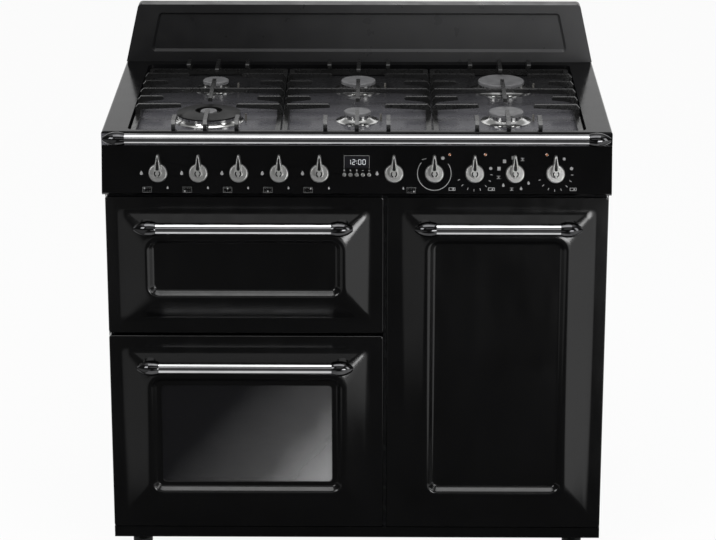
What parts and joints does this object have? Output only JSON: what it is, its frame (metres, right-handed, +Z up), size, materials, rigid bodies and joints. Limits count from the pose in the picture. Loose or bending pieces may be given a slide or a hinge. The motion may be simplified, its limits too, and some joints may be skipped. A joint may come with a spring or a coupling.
{
  "type": "gas range cooker",
  "caption": "Free-standing gas range cooker in black enamel with a burner hob, backguard, towel rail, sloping control panel, drop-down grill and oven doors and a tall side oven.",
  "frame": {"origin": "on the floor, under the middle of the cooker's box", "axes": "+X to the cook's right, +Y from the front to the wall, +Z up"},
  "size_m": [1, 0.6654, 1.025],
  "materials": {
    "black_enamel": "gloss",
    "chrome": "polished",
    "knob_steel": "satin",
    "button_steel": "satin",
    "clock_glass": "gloss",
    "cast_iron": "matte",
    "burner_alloy": "satin",
    "cap_enamel": "matte",
    "window_glass": "gloss",
    "oven_enamel": "speckled gloss",
    "zinc_steel": "satin",
    "element_steel": "matte",
    "gas_brass": "satin",
    "seal_rubber": "matte",
    "switch_plastic": "matte",
    "foot_plastic": "matte"
  },
  "bodies": {
    "cooker_body": {"base_frame": "black_enamel", "feet": "foot_plastic", "side_panels": "black_enamel", "rear_cover": "zinc_steel", "hob_top": "black_enamel", "backguard": "black_enamel", "control_panel": "black_enamel", "clock_display": "clock_glass", "oven_switches": "switch_plastic", "burner_bodies": "burner_alloy", "burner_caps": "cap_enamel", "towel_rail": "chrome", "hinge_brackets": "zinc_steel", "front_frame": "oven_enamel", "door_seals": "seal_rubber", "grill_cavity": "oven_enamel", "oven_cavity": "oven_enamel", "tall_oven_cavity": "oven_enamel", "oven_shelves": "chrome", "heating_elements": "element_steel", "fan_motor": "zinc_steel", "gas_manifold": "gas_brass"},
    "grill_door": {"grill_door_skin": "black_enamel", "grill_door_liner": "oven_enamel", "grill_door_handle": "chrome", "grill_door_hinges": "zinc_steel"},
    "oven_door": {"oven_door_skin": "black_enamel", "oven_door_window": "window_glass", "oven_door_liner": "oven_enamel", "oven_door_handle": "chrome", "oven_door_hinges": "zinc_steel"},
    "tall_door": {"tall_door_skin": "black_enamel", "tall_door_liner": "oven_enamel", "tall_door_handle": "chrome", "tall_door_hinges": "zinc_steel"},
    "fan": {"oven_fan": "zinc_steel"},
    "tap_1": {"tap_plug_1": "gas_brass"},
    "gas_knob_1": {"gas_knob_1": "knob_steel"},
    "tap_2": {"tap_plug_2": "gas_brass"},
    "gas_knob_2": {"gas_knob_2": "knob_steel"},
    "tap_3": {"tap_plug_3": "gas_brass"},
    "gas_knob_3": {"gas_knob_3": "knob_steel"},
    "tap_4": {"tap_plug_4": "gas_brass"},
    "gas_knob_4": {"gas_knob_4": "knob_steel"},
    "tap_5": {"tap_plug_5": "gas_brass"},
    "gas_knob_5": {"gas_knob_5": "knob_steel"},
    "tap_6": {"tap_plug_6": "gas_brass"},
    "gas_knob_6": {"gas_knob_6": "knob_steel"},
    "grill_knob": {"grill_knob": "knob_steel"},
    "oven_heat_knob": {"oven_heat_knob": "knob_steel"},
    "oven_mode_knob": {"oven_mode_knob": "knob_steel"},
    "tall_oven_knob": {"tall_oven_knob": "knob_steel"},
    "clock_button_1": {"clock_button_1": "button_steel"},
    "clock_button_2": {"clock_button_2": "button_steel"},
    "clock_button_3": {"clock_button_3": "button_steel"},
    "clock_button_4": {"clock_button_4": "button_steel"},
    "clock_button_5": {"clock_button_5": "button_steel"},
    "pan_support_left": {"pan_support_left": "cast_iron"},
    "pan_support_middle": {"pan_support_middle": "cast_iron"},
    "pan_support_right": {"pan_support_right": "cast_iron"}
  },
  "joints": [
    {"name": "grill_door_drop", "type": "hinge", "parent": "cooker_body", "child": "grill_door", "pos_m": [-0.222, -0.25725, 0.488], "axis": [1, 0, 0], "range_deg": [0, 90], "stiffness_Nm_per_rad": 6, "springref_deg": -20.05},
    {"name": "oven_door_drop", "type": "hinge", "parent": "cooker_body", "child": "oven_door", "pos_m": [-0.222, -0.25725, 0.068], "axis": [1, 0, 0], "range_deg": [0, 85], "stiffness_Nm_per_rad": 10, "springref_deg": -20.05},
    {"name": "tall_door_swing", "type": "hinge", "parent": "cooker_body", "child": "tall_door", "pos_m": [0.489, -0.25725, 0.412], "axis": [0, 0, 1], "range_deg": [0, 95]},
    {"name": "tap_turn_1", "type": "hinge", "parent": "cooker_body", "child": "tap_1", "pos_m": [-0.389, -0.28688, 0.8195], "axis": [0, -0.9772, 0.2124], "range_deg": [0, 210]},
    {"name": "knob_push_1", "type": "slide", "parent": "tap_1", "child": "gas_knob_1", "axis": [0, 0.9772, -0.2124], "range_m": [0, 0.004], "stiffness_N_per_m": 800, "springref_m": -0.002},
    {"name": "tap_turn_2", "type": "hinge", "parent": "cooker_body", "child": "tap_2", "pos_m": [-0.31, -0.28688, 0.8195], "axis": [0, -0.9772, 0.2124], "range_deg": [0, 210]},
    {"name": "knob_push_2", "type": "slide", "parent": "tap_2", "child": "gas_knob_2", "axis": [0, 0.9772, -0.2124], "range_m": [0, 0.004], "stiffness_N_per_m": 800, "springref_m": -0.002},
    {"name": "tap_turn_3", "type": "hinge", "parent": "cooker_body", "child": "tap_3", "pos_m": [-0.231, -0.28688, 0.8195], "axis": [0, -0.9772, 0.2124], "range_deg": [0, 210]},
    {"name": "knob_push_3", "type": "slide", "parent": "tap_3", "child": "gas_knob_3", "axis": [0, 0.9772, -0.2124], "range_m": [0, 0.004], "stiffness_N_per_m": 800, "springref_m": -0.002},
    {"name": "tap_turn_4", "type": "hinge", "parent": "cooker_body", "child": "tap_4", "pos_m": [-0.152, -0.28688, 0.8195], "axis": [0, -0.9772, 0.2124], "range_deg": [0, 210]},
    {"name": "knob_push_4", "type": "slide", "parent": "tap_4", "child": "gas_knob_4", "axis": [0, 0.9772, -0.2124], "range_m": [0, 0.004], "stiffness_N_per_m": 800, "springref_m": -0.002},
    {"name": "tap_turn_5", "type": "hinge", "parent": "cooker_body", "child": "tap_5", "pos_m": [-0.073, -0.28688, 0.8195], "axis": [0, -0.9772, 0.2124], "range_deg": [0, 210]},
    {"name": "knob_push_5", "type": "slide", "parent": "tap_5", "child": "gas_knob_5", "axis": [0, 0.9772, -0.2124], "range_m": [0, 0.004], "stiffness_N_per_m": 800, "springref_m": -0.002},
    {"name": "tap_turn_6", "type": "hinge", "parent": "cooker_body", "child": "tap_6", "pos_m": [0.073, -0.28688, 0.8195], "axis": [0, -0.9772, 0.2124], "range_deg": [0, 210]},
    {"name": "knob_push_6", "type": "slide", "parent": "tap_6", "child": "gas_knob_6", "axis": [0, 0.9772, -0.2124], "range_m": [0, 0.004], "stiffness_N_per_m": 800, "springref_m": -0.002},
    {"name": "grill_turn", "type": "hinge", "parent": "cooker_body", "child": "grill_knob", "pos_m": [0.152, -0.28688, 0.8195], "axis": [0, 0.9772, -0.2124], "range_deg": [0, 270]},
    {"name": "oven_heat_turn", "type": "hinge", "parent": "cooker_body", "child": "oven_heat_knob", "pos_m": [0.231, -0.28688, 0.8195], "axis": [0, 0.9772, -0.2124], "range_deg": [0, 270]},
    {"name": "oven_mode_turn", "type": "hinge", "parent": "cooker_body", "child": "oven_mode_knob", "pos_m": [0.31, -0.28688, 0.8195], "axis": [0, 0.9772, -0.2124], "continuous": true},
    {"name": "tall_oven_turn", "type": "hinge", "parent": "cooker_body", "child": "tall_oven_knob", "pos_m": [0.389, -0.28688, 0.8195], "axis": [0, 0.9772, -0.2124], "range_deg": [0, 270]},
    {"name": "button_push_1", "type": "slide", "parent": "cooker_body", "child": "clock_button_1", "axis": [0, 0.9772, -0.2124], "range_m": [0, 0.0012], "stiffness_N_per_m": 500, "springref_m": -0.0006},
    {"name": "button_push_2", "type": "slide", "parent": "cooker_body", "child": "clock_button_2", "axis": [0, 0.9772, -0.2124], "range_m": [0, 0.0012], "stiffness_N_per_m": 500, "springref_m": -0.0006},
    {"name": "button_push_3", "type": "slide", "parent": "cooker_body", "child": "clock_button_3", "axis": [0, 0.9772, -0.2124], "range_m": [0, 0.0012], "stiffness_N_per_m": 500, "springref_m": -0.0006},
    {"name": "button_push_4", "type": "slide", "parent": "cooker_body", "child": "clock_button_4", "axis": [0, 0.9772, -0.2124], "range_m": [0, 0.0012], "stiffness_N_per_m": 500, "springref_m": -0.0006},
    {"name": "button_push_5", "type": "slide", "parent": "cooker_body", "child": "clock_button_5", "axis": [0, 0.9772, -0.2124], "range_m": [0, 0.0012], "stiffness_N_per_m": 500, "springref_m": -0.0006},
    {"name": "pan_lift_left", "type": "slide", "parent": "cooker_body", "child": "pan_support_left", "axis": [0, 0, 1], "range_m": [0, 0.12]},
    {"name": "pan_lift_middle", "type": "slide", "parent": "cooker_body", "child": "pan_support_middle", "axis": [0, 0, 1], "range_m": [0, 0.12]},
    {"name": "pan_lift_right", "type": "slide", "parent": "cooker_body", "child": "pan_support_right", "axis": [0, 0, 1], "range_m": [0, 0.12]},
    {"name": "oven_fan_spin", "type": "hinge", "parent": "cooker_body", "child": "fan", "pos_m": [-0.222, 0.18475, 0.2825], "axis": [0, 1, 0], "continuous": true}
  ]
}
